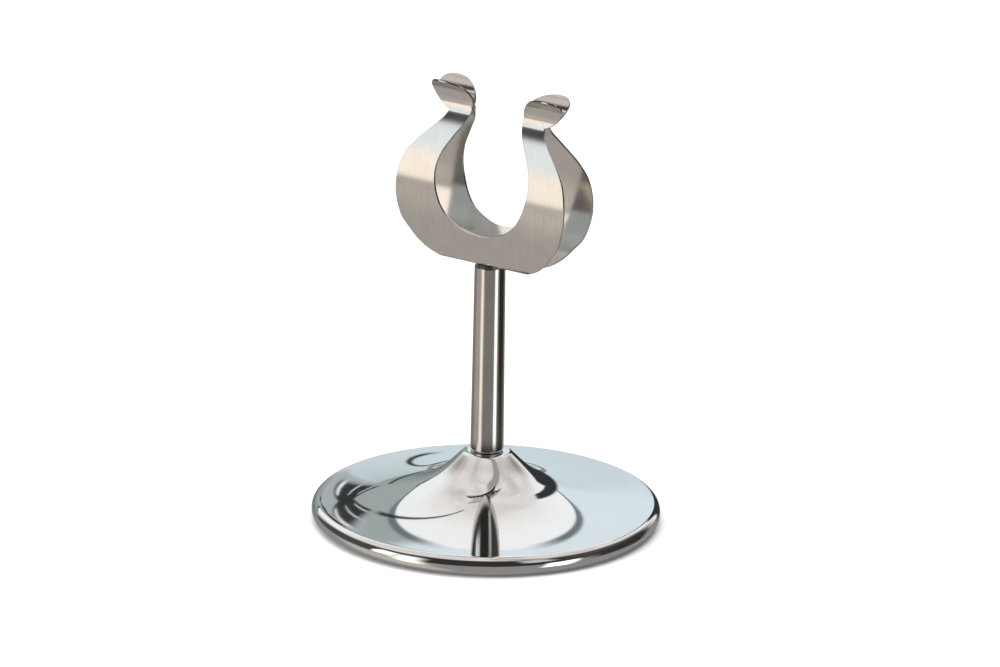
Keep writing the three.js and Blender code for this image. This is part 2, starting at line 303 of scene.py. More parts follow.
# Places in the surroundings. Angles are in degrees. An edge is a value and how softly it turns over; a span
# is its low end, its high end and how soft both are; a patch is a span across and a span of elevations.
HORIZON = (-3.0, 3.0)
LIT_TABLE = ((-110.0, -40.0, 12.0), (-75.0, -8.0, 6.0))
ROOM_SIDE_FROM = (60.0, 20.0)
DARK_SIDE = ((76.0, 128.0, 8.0), (-24.0, 20.0, 6.0))
CEILING_TILT = 0.45  # how much the ceiling comes down towards the back
CEILING_EDGE = (0.74, 0.09)
CLOTH_SCALE = 3.5
CLOTH_DETAIL = 3.0
CLOTH_TURN = (0.5, 0.16)
GAP_SLOPE = 1.6
GAP_WIDTH = (-0.2, 0.15, 0.07)
GAP_LENGTH = (0.02, 0.5, 0.05)
GAP_HEIGHT = (0.7, 0.08)
WALL_SLOPE = -0.6
WALL_LEFT = (-30.0, 12.0)
WALL_RIGHT = (42.0, 15.0)
WALL_FOOT = (-1.0, 3.0)
WALL_TOP = (46.0, 14.0)

PANEL_ELEVATION = 13.0
PANEL_RADIUS = (18.8, 0.3)
PANEL_FOOT = (-9.0, 1.5)
PANEL_MIDDLE = (14.0, 0.5)
PANEL_UNEVEN_SCALE = 5.0
PANEL_UNEVEN_REACH = 10.0
PANEL_BRIGHTER_FROM = (20.0, 4.0)
PANEL_BACK_EDGE = (-4.5, 3.5)
LEFT_EDGE = (-6.6, 0.3)
LEFT_EDGE_HIGH_UP = (-3.4, 0.6)
LEFT_TONE_TURN = (8.0, 10.0)
FAR_LEFT = ((-6.2, -2.5, 0.5), (13.0, 26.5, 1.0))
LOW_LEFT_SLOPE = 0.571
LOW_LEFT_TOP = (30.0, 0.5)
LOW_LEFT_FOOT = (-14.0, 2.0)
LOW_LEFT_ACROSS = (-34.0, -5.5, 1.0)
SIDE_SEAM = (29.4, 31.2, 0.4)
SIDE_SEAM_ACROSS = (-35.0, -17.0, 1.0)
THIN_EDGE = (18.4, 19.3, 0.3)
THIN_EDGE_FROM = (14.0, 2.0)
WIDE_EDGE = (17.8, 19.3, 0.4)
WIDE_EDGE_FROM = (28.0, 2.0)
EDGE_BESIDE = (3.0, 1.5)

HOOK_SLOPE = 0.37
HOOK_START = (8.5, 0.8)
HOOK = ((8.5, 14.5, 0.8), (-12.0, 43.0, 2.0))
HOOK_BLOCK_RIGHT = (30.0, 2.0)
HOOK_BLOCK_UP = (-14.0, 25.0, 2.0)

FOLDS_AT = (-6.0, 20.5)
FOLDS_SPREAD = 0.22
FOLDS_WAIST = 0.45
FOLDS_UP = (15.5, 25.5, 0.8)
FOLDS_OUTLINE = (-1.0, 1.0, 0.06)
FOLDS_STRIPES = ((-0.70, -0.62, 0.04), (0.05, 0.12, 0.04), (0.74, 0.88, 0.04))
STRIPES_FROM = (1.5, 0.5)
UPWARD_SLOPE = -0.12
UPWARD_SEAM = ((-4.8, -4.1, 0.25), (27.0, 54.0, 1.0))
DOWNWARD_SLOPE = -0.13
DOWNWARD_SEAM = ((-6.6, -6.1, 0.2), (-5.0, 14.0, 1.0))

LOOP_AT = (-2.1, 0.8)
LOOP_HALF_WIDTH = 1.5
LOOP_HALF_HEIGHT = 6.3
LOOP_LINE = (0.90, 1.10, 0.06)
LOOP_RIGHT = (-1.6, 0.4)

SOFTBOX_HIGH = ((-78.0, -62.0, 2.0), (-4.0, 35.0, 2.0))
SOFTBOX_LOW = ((-62.0, -43.0, 7.0), (-32.0, 35.0, 8.0))
SOFTBOX_TURN = (16.0, 8.0)
LAMP_PATCH = ((41.0, 63.0, 4.0), (-38.0, 3.0, 4.0))
WINDOW_PATCH = ((28.0, 50.0, 5.0), (27.0, 56.0, 4.0))


class Sky(Graph):
    """Shader graph of the surroundings, painted in layers. far_angle is measured from the far side and
    front_angle from the camera's side, both in degrees and positive to the right."""

    def __init__(self, tree):
        super().__init__(tree)
        back, right, _ = view_axes()
        degree = 180 / math.pi
        self.direction = self.node("ShaderNodeTexCoord").outputs["Generated"]
        self.level_back = Vector((back.x, back.y, 0)).normalized()
        self.towards = self.dot(self.direction, self.level_back)
        self.away = self.math("MULTIPLY", self.towards, -1.0)
        self.side = self.dot(self.direction, right)
        self.height = self.dot(self.direction, (0, 0, 1))
        self.elevation = self.math("MULTIPLY", self.math("ARCSINE", self.height), degree)
        self.front_angle = self.math("MULTIPLY", self.math("ARCTAN2", self.side, self.towards), degree)
        self.far_angle = self.math("MULTIPLY", self.math("ARCTAN2", self.side, self.away), degree)
        self.colour = None

    def paint(self, colour, mask):
        self.colour = self.mix(self.colour, colour, mask)

    def below(self, value, edge, soft):
        return self.math("SUBTRACT", 1.0, self.step(value, edge, soft))

    def beyond(self, across, along, slope):
        """How far across is past a sloping line through the origin of the two angles."""
        return self.math("SUBTRACT", across, self.math("MULTIPLY", along, slope))

    def patch(self, across, spans):
        return self.both(self.band(across, *spans[0]), self.band(self.elevation, *spans[1]))


def paint_room(sky):
    """Table, brighter beside the softbox, a dark room, a pale cloth ceiling with a gap, a white wall and
    something dark close by on the right."""
    table = sky.mix(TABLE_GREY, TABLE_LIT, sky.patch(sky.front_angle, LIT_TABLE))
    to_the_side = sky.step(sky.math("ABSOLUTE", sky.front_angle), *ROOM_SIDE_FROM)
    room = sky.mix(ROOM_DARK, ROOM_SIDE, to_the_side)
    sky.colour = sky.mix(table, room, sky.step(sky.elevation, *HORIZON))

    overhead = sky.math("ADD", sky.height, sky.math("MULTIPLY", sky.away, CEILING_TILT))
    cloth = sky.step(sky.noise(sky.direction, CLOTH_SCALE, CLOTH_DETAIL), *CLOTH_TURN)
    sky.paint(sky.mix(CEILING_DIM, CEILING, cloth), sky.step(overhead, *CEILING_EDGE))
    gap = sky.both(sky.band(sky.beyond(sky.side, sky.towards, GAP_SLOPE), *GAP_WIDTH),
                   sky.band(sky.side, *GAP_LENGTH))
    sky.paint(CEILING_GAP, sky.both(gap, sky.step(sky.height, *GAP_HEIGHT)))

    across = sky.both(sky.step(sky.beyond(sky.far_angle, sky.elevation, WALL_SLOPE), *WALL_LEFT),
                      sky.below(sky.far_angle, *WALL_RIGHT))
    up = sky.both(sky.step(sky.elevation, *WALL_FOOT), sky.below(sky.elevation, *WALL_TOP))
    sky.paint(WALL, sky.both(across, up))
    sky.paint(ROOM_DARK, sky.patch(sky.front_angle, DARK_SIDE))


def paint_panel(sky):
    """Round panel at the back with a dark edge. Its left part is darker, more so low down, where it also
    runs on sideways under a seam."""
    tilt = math.radians(PANEL_ELEVATION)
    centre = Vector((0, 0, 1)) * math.sin(tilt) - sky.level_back * math.cos(tilt)
    apart = sky.math("MULTIPLY", sky.math("ARCCOSINE", sky.dot(sky.direction, centre)), 180 / math.pi)
    inside = sky.both(sky.below(apart, *PANEL_RADIUS), sky.step(sky.elevation, *PANEL_FOOT))
    past_seam = sky.beyond(sky.elevation, sky.far_angle, LOW_LEFT_SLOPE)
    low_left = sky.both(sky.below(past_seam, *LOW_LEFT_TOP), sky.step(sky.elevation, *LOW_LEFT_FOOT))
    low_left = sky.both(low_left, sky.band(sky.far_angle, *LOW_LEFT_ACROSS))

    left_high_up = sky.both(sky.below(sky.far_angle, *LEFT_EDGE_HIGH_UP),
                            sky.step(sky.elevation, *PANEL_MIDDLE))
    left_half = sky.math("MAXIMUM", sky.below(sky.far_angle, *LEFT_EDGE), left_high_up)
    left_tone = sky.mix(PANEL_LOW, PANEL_LEFT, sky.step(sky.elevation, *LEFT_TONE_TURN))
    left_tone = sky.mix(left_tone, PANEL_FAR_LEFT, sky.patch(sky.far_angle, FAR_LEFT))
    uneven = sky.math("MULTIPLY", sky.noise(sky.direction, PANEL_UNEVEN_SCALE), PANEL_UNEVEN_REACH)
    uneven = sky.math("ADD", sky.elevation, uneven)
    panel = sky.mix(PANEL_DIM, PANEL_RIGHT, sky.step(uneven, *PANEL_BRIGHTER_FROM))
    panel = sky.mix(PANEL_BACK, panel, sky.step(sky.far_angle, *PANEL_BACK_EDGE))
    panel = sky.mix(panel, left_tone, left_half)
    sky.paint(left_tone, low_left)
    sky.paint(panel, inside)

    thin = sky.both(sky.band(apart, *THIN_EDGE), sky.step(sky.elevation, *THIN_EDGE_FROM))
    wide = sky.both(sky.band(apart, *WIDE_EDGE), sky.step(sky.elevation, *WIDE_EDGE_FROM))
    beside = sky.step(sky.math("ABSOLUTE", sky.far_angle), *EDGE_BESIDE)
    sky.paint(EDGE_GREY, sky.both(sky.math("MAXIMUM", thin, wide), beside))
    sky.paint(SEAM, sky.both(sky.band(past_seam, *SIDE_SEAM), sky.band(sky.far_angle, *SIDE_SEAM_ACROSS)))


def paint_hook(sky):
    """Dark hook to the right of the panel, with a block at its foot."""
    past_hook = sky.beyond(sky.far_angle, sky.elevation, HOOK_SLOPE)
    block = sky.both(sky.step(past_hook, *HOOK_START), sky.below(sky.far_angle, *HOOK_BLOCK_RIGHT))
    block = sky.both(block, sky.band(sky.elevation, *HOOK_BLOCK_UP))
    sky.paint(SEAM, sky.math("MAXIMUM", sky.patch(past_hook, HOOK), block))


def paint_folds(sky):
    """Folds of cloth left of the middle, gathered at one height and fanning out above and below it, with
    one thin seam above them and one below."""
    across, up = FOLDS_AT
    from_waist = sky.math("ABSOLUTE", sky.math("SUBTRACT", sky.elevation, up))
    width = sky.math("ADD", sky.math("MULTIPLY", from_waist, FOLDS_SPREAD), FOLDS_WAIST)
    fan = sky.math("DIVIDE", sky.math("SUBTRACT", sky.far_angle, across), width)
    folds = sky.band(sky.elevation, *FOLDS_UP)
    sky.paint(SEAM, sky.both(sky.band(fan, *FOLDS_OUTLINE), folds))
    striped = sky.both(folds, sky.step(from_waist, *STRIPES_FROM))
    for stripe in FOLDS_STRIPES:
        sky.paint(WALL, sky.both(sky.band(fan, *stripe), striped))
    upward = sky.patch(sky.beyond(sky.far_angle, sky.elevation, UPWARD_SLOPE), UPWARD_SEAM)
    downward = sky.patch(sky.beyond(sky.far_angle, sky.elevation, DOWNWARD_SLOPE), DOWNWARD_SEAM)
    sky.paint(SEAM, sky.math("MAXIMUM", upward, downward))


def paint_loop(sky):
    """Left side of the outline of a small upright oval far behind."""
    across, up = LOOP_AT
    x = sky.math("DIVIDE", sky.math("SUBTRACT", sky.far_angle, across), LOOP_HALF_WIDTH)
    y = sky.math("DIVIDE", sky.math("SUBTRACT", sky.elevation, up), LOOP_HALF_HEIGHT)
    reach = sky.math("SQRT", sky.math("ADD", sky.both(x, x), sky.both(y, y)))
    sky.paint(SEAM, sky.both(sky.band(reach, *LOOP_LINE), sky.below(sky.far_angle, *LOOP_RIGHT)))


def paint_lamps(sky):
    """Softbox at the left front, and at the right front a lamp low down and a window above it."""
    softbox = sky.mix(CREAM, SKY_BLUE, sky.step(sky.elevation, *SOFTBOX_TURN))
    high = sky.patch(sky.front_angle, SOFTBOX_HIGH)
    low = sky.patch(sky.front_angle, SOFTBOX_LOW)
    sky.paint(softbox, sky.math("MAXIMUM", high, low))
    sky.paint(LAMP, sky.patch(sky.front_angle, LAMP_PATCH))
    sky.paint(WINDOW, sky.patch(sky.front_angle, WINDOW_PATCH))


def surroundings():
    """A light tent, open towards the camera, that lights the stand and shows in its metal. The camera
    itself sees a plain backdrop."""
    world = bpy.data.worlds.new("studio")
    bpy.context.scene.world = world
    world.use_nodes = True
    sky = Sky(world.node_tree)
    for paint in (paint_room, paint_panel, paint_hook, paint_folds, paint_loop, paint_lamps):
        paint(sky)
    sky.paint(BACKDROP, sky.node("ShaderNodeLightPath").outputs["Is Camera Ray"])
    background = sky.node("ShaderNodeBackground")
    sky.put(background.inputs["Color"], sky.colour)
    sky.surface("ShaderNodeOutputWorld", background)


# ---- floor and lamps ------------------------------------------------------------------------------------

FLOOR_HALF = 6.0  # metres, like the lamps' places and sizes
FLOOR_WHITE = (0.93, 0.93, 0.93)
OVERHEAD = {"height": 1.6, "size": 1.8, "power": 26}
SIDE_FILL = {"left": 1.2, "nearer": 0.6, "height": 0.9, "size": 0.9, "power": 8}


def add_light(name, place, size, power):
    """A round lamp, size across in metres, that points at the stand's foot. It lights the floor and dull
    surfaces, and isn't seen in reflections."""
    data = bpy.data.lights.new(name, "AREA")
    data.shape = "DISK"
    data.size = size
    data.energy = power
    light = bpy.data.objects.new(name, data)
    bpy.context.collection.objects.link(light)
    light.location = place
    light.rotation_euler = (-Vector(place)).to_track_quat("-Z", "Y").to_euler()
    light.visible_glossy = False


def stage():
    """The surroundings, a plain pale floor that reflections leave out, and the lamps."""
    surroundings()
    mesh = bpy.data.meshes.new("floor")
    corners = [(x * FLOOR_HALF, y * FLOOR_HALF, 0) for x, y in ((-1, -1), (1, -1), (1, 1), (-1, 1))]
    mesh.from_pydata(corners, [], [(0, 1, 2, 3)])
    floor = bpy.data.objects.new("floor", mesh)
    bpy.context.collection.objects.link(floor)
    floor.visible_glossy = False
    material = bpy.data.materials.new("floor_paper")
    material.use_nodes = True
    shader = material.node_tree.nodes["Principled BSDF"]
    shader.inputs["Base Color"].default_value = (*FLOOR_WHITE, 1)
    shader.inputs["Roughness"].default_value = 1.0
    shader.inputs["Specular IOR Level"].default_value = 0.0
    mesh.materials.append(material)
    back, right, _ = view_axes()
    add_light("overhead", (0, 0, OVERHEAD["height"]), OVERHEAD["size"], OVERHEAD["power"])
    fill_at = back * SIDE_FILL["nearer"] - right * SIDE_FILL["left"] + Vector((0, 0, SIDE_FILL["height"]))
    add_light("side_fill", tuple(fill_at), SIDE_FILL["size"], SIDE_FILL["power"])


# ---- materials ------------------------------------------------------------------------------------------

TONE_TURN = (0.5, 0.16)  # where a grain's tone turns from dark to light, and how softly
FINE_DETAIL = 3.0
RUBBER = {
    "dark": (0.012, 0.012, 0.013), "light": (0.035, 0.035, 0.037), "roughness": (0.78, 0.95),
    "specular": 0.25, "cell_scale": 2200, "cloud_scale": 180, "strength": 0.5, "depth": 0.08}


def metal(name, base, roughness, grain):
    """A metal whose tint and roughness vary a little with a grain, and whose surface has fine relief. grain
    says which coordinates it follows and how they are stretched, the scales of its lines and clouds, how
    dark its darkest tint is, and its relief's strength and depth."""
    material = bpy.data.materials.new(name)
    material.use_nodes = True
    g = Graph(material.node_tree)
    shader = g.node("ShaderNodeBsdfPrincipled")
    shader.inputs["Metallic"].default_value = 1.0
    coordinates = g.node("ShaderNodeTexCoord")
    vector = coordinates.outputs[grain["follows"]]
    lines = g.noise(g.stretch(vector, grain["stretch"]), grain["scale"], FINE_DETAIL)
    clouds = g.noise(vector, grain["cloud_scale"])
    dark = tuple(c * grain["darkest"] for c in base)
    tone = g.math("ADD", g.math("MULTIPLY", lines, 0.5), g.math("MULTIPLY", clouds, 0.5))
    g.put(shader.inputs["Base Color"], g.mix(dark, base, g.step(tone, *TONE_TURN)))
    g.put(shader.inputs["Roughness"], g.spread(tone, *roughness))
    g.relief(shader, lines, grain["strength"], grain["depth"])
    g.surface("ShaderNodeOutputMaterial", shader)
    return material


def polished_base():
    return metal("polished_base", (0.90, 0.905, 0.90), (0.02, 0.05), {
        "follows": "Object", "stretch": (1, 1, 1), "scale": 900, "cloud_scale": 60,
        "darkest": 0.97, "strength": 0.02, "depth": 0.01})


def stem_steel():
    return metal("stem_steel", (0.66, 0.64, 0.61), (0.10, 0.17), {
        "follows": "Object", "stretch": (1, 1, 0.03), "scale": 3200, "cloud_scale": 120,
        "darkest": 0.9, "strength": 0.12, "depth": 0.01})


def spring_steel():
    return metal("spring_steel", (0.70, 0.675, 0.64), (0.09, 0.16), {
        "follows": "UV", "stretch": (1, 0.06, 1), "scale": 2600, "cloud_scale": 260,
        "darkest": 0.92, "strength": 0.08, "depth": 0.01})


def screw_steel():
    return metal("screw_steel", (0.60, 0.60, 0.58), (0.22, 0.38), {
        "follows": "Object", "stretch": (1, 1, 1), "scale": 2400, "cloud_scale": 500,
        "darkest": 0.8, "strength": 0.2, "depth": 0.02})


def cast_iron():
    return metal("cast_iron", (0.16, 0.16, 0.165), (0.55, 0.8), {
        "follows": "Object", "stretch": (1, 1, 1), "scale": 900, "cloud_scale": 150,
        "darkest": 0.6, "strength": 0.6, "depth": 0.15})


def foam_rubber():
    """Dull dark rubber with small cells in its surface."""
    material = bpy.data.materials.new("pad_rubber")
    material.use_nodes = True
    g = Graph(material.node_tree)
    shader = g.node("ShaderNodeBsdfPrincipled")
    shader.inputs["Specular IOR Level"].default_value = RUBBER["specular"]
    vector = g.node("ShaderNodeTexCoord").outputs["Object"]
    cells = g.node("ShaderNodeTexVoronoi")
    g.put(cells.inputs["Vector"], vector)
    cells.inputs["Scale"].default_value = RUBBER["cell_scale"]
    cloud = g.noise(vector, RUBBER["cloud_scale"], FINE_DETAIL)
    g.put(shader.inputs["Base Color"], g.mix(RUBBER["dark"], RUBBER["light"], cloud))
    g.put(shader.inputs["Roughness"], g.spread(cloud, *RUBBER["roughness"]))
    g.relief(shader, cells.outputs["Distance"], RUBBER["strength"], RUBBER["depth"])
    g.surface("ShaderNodeOutputMaterial", shader)
    return material


# ---- mesh helpers ---------------------------------------------------------------------------------------

SHARP_DEGREES = 35
STRIP_SHARP_DEGREES = 60  # the strip's narrow edge stays smooth round tight corners


def new_piece(name, vertices, faces, material, sharp_degrees=SHARP_DEGREES):
    """A smooth-shaded mesh object from points in millimetres."""
    mesh = bpy.data.meshes.new(name)
    mesh.from_pydata([tuple(c * MM for c in v) for v in vertices], [], faces)
    mesh.validate()
    tidy = bmesh.new()
    tidy.from_mesh(mesh)
    bmesh.ops.recalc_face_normals(tidy, faces=tidy.faces)
    tidy.to_mesh(mesh)
    tidy.free()
    mesh.shade_smooth()
    mesh.set_sharp_from_angle(angle=math.radians(sharp_degrees))
    mesh.materials.append(material)
    piece = bpy.data.objects.new(name, mesh)
    bpy.context.collection.objects.link(piece)
    return piece


def arc(centre, radius, start, end, steps):
    """Points of an arc in a section plane, from one angle to another in degrees."""
    angles = np.radians(np.linspace(start, end, steps + 1))
    return [(centre[0] + radius * math.cos(a), centre[1] + radius * math.sin(a)) for a in angles]


def bezier(points, steps):
    """Points of a Bezier curve of any degree, without its first."""
    made = []
    for i in range(1, steps + 1):
        row = [np.array(p, float) for p in points]
        t = i / steps
        while len(row) > 1:
            row = [a * (1 - t) + b * t for a, b in zip(row, row[1:])]
        made.append(tuple(row[0]))
    return made


def offset(points, distance):
    """Moves an open line of points sideways, to the left of its direction if positive."""
    line = np.array(points)
    along = np.gradient(line, axis=0)
    along /= np.linalg.norm(along, axis=1)[:, None]
    return [tuple(p) for p in line + distance * np.stack([-along[:, 1], along[:, 0]], axis=1)]


def revolve(name, section, material, segments):
    """Turns a section of (radius, height) points round Z. Points on the axis become poles, and a section
    that doesn't meet the axis is closed into a ring."""
    vertices = []
    rings = []
    for radius, height in section:
        if radius < TINY:
            rings.append([len(vertices)] * segments)
            vertices.append((0, 0, height))
            continue
        rings.append(list(range(len(vertices), len(vertices) + segments)))
        for k in range(segments):
            a = 2 * math.pi * k / segments
            vertices.append((radius * math.cos(a), radius * math.sin(a), height))
    pairs = list(zip(rings, rings[1:]))
    if section[0][0] > TINY:
        pairs.append((rings[-1], rings[0]))
    faces = []
    for lower, upper in pairs:
        for k in range(segments):
            n = (k + 1) % segments
            corners = [lower[k], lower[n], upper[n], upper[k]]
            face = list(dict.fromkeys(corners))
            if len(face) > 2:
                faces.append(face)
    return new_piece(name, vertices, faces, material)


# ---- base -----------------------------------------------------------------------------------------------


def top_of(node):
    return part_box(node)[1][2] / MM


def base_line(seat_height):
    """Upper face of the spun sheet, from the screw hole out to the curled end of the rim."""
    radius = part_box("base_shell")[1][0] / MM
    rim_centre = (radius - RIM_RADIUS, RIM_LIFT + RIM_RADIUS)
    shoulder = (SHOULDER_RADIUS, seat_height - SHOULDER_DROP)
    rim = arc(rim_centre, RIM_RADIUS, RIM_ENTRY, RIM_END, RIM_STEPS)
    line = [(BASE_HOLE, seat_height), (SEAT_RADIUS, seat_height)]
    line += bezier([line[-1], (SEAT_RADIUS + BROW_REACH, seat_height), shoulder], BROW_STEPS)
    line += bezier([shoulder, STEEP_PULL, FLAT_PULL, rim[0]], TRUMPET_STEPS)
    return line + rim[1:]


def base_dish():
    upper = base_line(top_of("base_shell"))
    lower = offset(upper, -SHEET_BASE)[::-1]
    piece = revolve("base_dish", upper + lower, polished_base(), BASE_SEGMENTS)
    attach(piece, "stand")
    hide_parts("base_shell")


def foot_pad():
    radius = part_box("base_pad")[1][0] / MM
    top = top_of("base_pad")
    section = [(0, 0)]
    section += arc((radius - PAD_ROUNDING, PAD_ROUNDING), PAD_ROUNDING, -90, 0, PAD_STEPS)
    section += arc((radius - PAD_ROUNDING, top - PAD_ROUNDING), PAD_ROUNDING, 0, 90, PAD_STEPS)
    section += [(0, top)]
    piece = revolve("foot_pad", section, foam_rubber(), PAD_SEGMENTS)
    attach(piece, "stand")
    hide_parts("base_pad")


# ---- stem -----------------------------------------------------------------------------------------------


def stem_post():
    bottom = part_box("stem")[0][2] / MM
    top = top_of("stem")
    section = [(0, bottom + TAPPED_DEPTH + DRILL_POINT), (BASE_HOLE, bottom + TAPPED_DEPTH)]
    section += [(BASE_HOLE, bottom)]
    foot_centre = (STEM_FOOT_RADIUS - STEM_ROUNDING, bottom + STEM_ROUNDING)
    section += arc(foot_centre, STEM_ROUNDING, -90, 0, FOOT_STEPS)
    shoulder_centre = (STEM_TOP_RADIUS - STEM_SHOULDER, top - STEM_CHAMFER - STEM_SHOULDER)
    section += arc(shoulder_centre, STEM_SHOULDER, 0, 45, SHOULDER_STEPS)
    section += [(STEM_TOP_RADIUS - STEM_CHAMFER, top), (CLIP_HOLE, top), (CLIP_HOLE, top - TAPPED_DEPTH)]
    section += [(0, top - TAPPED_DEPTH - DRILL_POINT)]
    piece = revolve("stem_post", section, stem_steel(), STEM_SEGMENTS)
    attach(piece, "stand")
    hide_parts("stem")


# ---- clip -----------------------------------------------------------------------------------------------


class StripLine:
    """Middle line of half of the folded strip, by arc length from the middle of the web. Headings are in
    degrees from vertical, positive outward. lean adds to every heading from the bend on."""

    def __init__(self, lean):
        self.stretches = []
        self.length = 0.0
        self.point = np.array([0.0, SHEET_CLIP / 2])
        self.heading = 90.0
        self.straight(WEB_HALF_FLAT)
        self.turn(BEND_RADIUS, LEAF_ANGLE + lean)
        self.straight(FLANGE)
        self.turn(BELLY_RADIUS, -NECK_ANGLE + lean)
        self.neck = self.length + NECK_RADIUS * math.radians(NECK_ANGLE)
        self.turn(NECK_RADIUS, LIP_ANGLE + lean)

    def add(self, length, heading):
        self.stretches.append((self.length, length, self.point, self.heading, heading))
        self.point = self.at(self.length + length)[0]
        self.length += length
        self.heading = heading

    def straight(self, length):
        self.add(length, self.heading)

    def turn(self, radius, heading):
        self.add(radius * math.radians(abs(heading - self.heading)), heading)

    def at(self, s):
        """Position (outward, up) and heading in radians at an arc length."""
        start, length, point, first, last = next(
            (part for part in reversed(self.stretches) if part[0] <= s), self.stretches[0])
        share = (s - start) / length
        a = math.radians(first)
        b = math.radians(first + (last - first) * share)
        if abs(b - a) < TINY:
            step = np.array([math.sin(a), math.cos(a)]) * (s - start)
        else:
            radius = (s - start) / (b - a)
            step = radius * np.array([math.cos(a) - math.cos(b), math.sin(b) - math.sin(a)])
        return point + step, b


def smooth_edge(points, steps):
    """A smooth curve through the outline's points, as a dense list of (half-width, height)."""
    points = np.array(points, float)
    ends = np.vstack([2 * points[0] - points[1], points, 2 * points[-1] - points[-2]])
    made = []
    for a, b, c, d in zip(ends, ends[1:], ends[2:], ends[3:]):
        for t in np.linspace(0, 1, steps, endpoint=False):
            made.append(0.5 * (2 * b + (c - a) * t + (2 * a - 5 * b + 4 * c - d) * t ** 2
                               + (3 * b - a - 3 * c + d) * t ** 3))
    made.append(points[-1])
    return np.array(made)


def flat_outline():
    """Arc lengths of the rows along one half of the strip, each row's inner and outer half-width, and the
    rows where the screw's hole ends and the U begins."""
    upright = StripLine(0.0)
    along = np.linspace(0, upright.length, LENGTH_SAMPLES)
    heights = np.array([upright.at(s)[0][1] for s in along])

    def to_length(height):
        return np.interp(height, heights, along)

    outer = smooth_edge(OUTER_EDGE, OUTLINE_STEPS)
    whole_inner = smooth_edge([(-x, z) for x, z in INNER_EDGE[:0:-1]] + INNER_EDGE, OUTLINE_STEPS)
    inner = whole_inner[whole_inner[:, 0] >= 0]
    outer_s = to_length(outer[:, 1])
    inner_s = to_length(inner[:, 1])
    tilt = math.radians(EAR_TILT)
    middle_s = upright.neck + EAR_PAST_NECK
    reach_s = math.hypot(EAR_HALF_LENGTH * math.sin(tilt), EAR_HALF_WIDTH * math.cos(tilt))

    def ear_span(s):
        """Where a level line crosses the ear's tilted oval."""
        y = s - middle_s
        if abs(y) >= reach_s:
            return None
        a, b = EAR_HALF_LENGTH, EAR_HALF_WIDTH
        middle = y * (a * a - b * b) * math.sin(tilt) * math.cos(tilt) / reach_s ** 2
        half = a * b / reach_s * math.sqrt(1 - (y / reach_s) ** 2)
        return EAR_CENTRE_X + middle - half, EAR_CENTRE_X + middle + half

    split = float(to_length(INNER_EDGE[0][1]))
    arm_end = float(outer_s[-1])
    tip = middle_s + reach_s * math.cos(math.radians(EAR_TIP_CUT))

    def limits(s):
        """Inner and outer half-widths at an arc length, with the ear where there is one."""
        low = 0.0 if s <= split else float(np.interp(s, inner_s, inner[:, 0]))
        high = float(np.interp(s, outer_s, outer[:, 0]))
        ear = ear_span(s)
        if ear and s > arm_end:
            return ear
        if ear:
            return min(low, ear[0]), max(high, ear[1])
        return low, high

    bend_end = WEB_HALF_FLAT + BEND_RADIUS * math.radians(90 - LEAF_ANGLE)
    ear_start = middle_s - reach_s
    hole_turns = np.radians(np.linspace(0, 90, HOLE_ROWS))
    rows = [CLIP_HOLE * math.sin(a) for a in hole_turns]
    hole_row = len(rows) - 1
    rows += [WEB_HALF_FLAT]
    rows += list(np.linspace(WEB_HALF_FLAT, bend_end, BEND_ROWS + 1)[1:])
    rows += list(np.linspace(bend_end, split, FLANGE_ROWS + 1)[1:])
    split_row = len(rows) - 1
    shares = np.linspace(0, 1, LEAF_ROWS + 1)[1:] ** LEAF_ROW_CROWDING
    rows += list(split + (ear_start - split) * shares)
    swing = np.linspace(0, math.pi, EAR_ROWS + 1)[1:]
    rows += list(ear_start + (tip - ear_start) * (1 - np.cos(swing)) / 2)
    spans = [limits(s) for s in rows]
    for i, a in enumerate(hole_turns):
        spans[i] = (CLIP_HOLE * math.cos(a) if i < hole_row else 0.0, spans[i][1])
    return rows, spans, hole_row, split_row


def rim_levels():
    """Inset from the outline and offset from the middle of the sheet, down its rounded edge."""
    turns = np.radians(EDGE_TURNS)
    down = [(EDGE_ROUNDING * (1 - math.sin(a)), SHEET_CLIP / 2 - EDGE_ROUNDING * (1 - math.cos(a)))
            for a in turns]
    return down + [(inset, -d) for inset, d in reversed(down)]


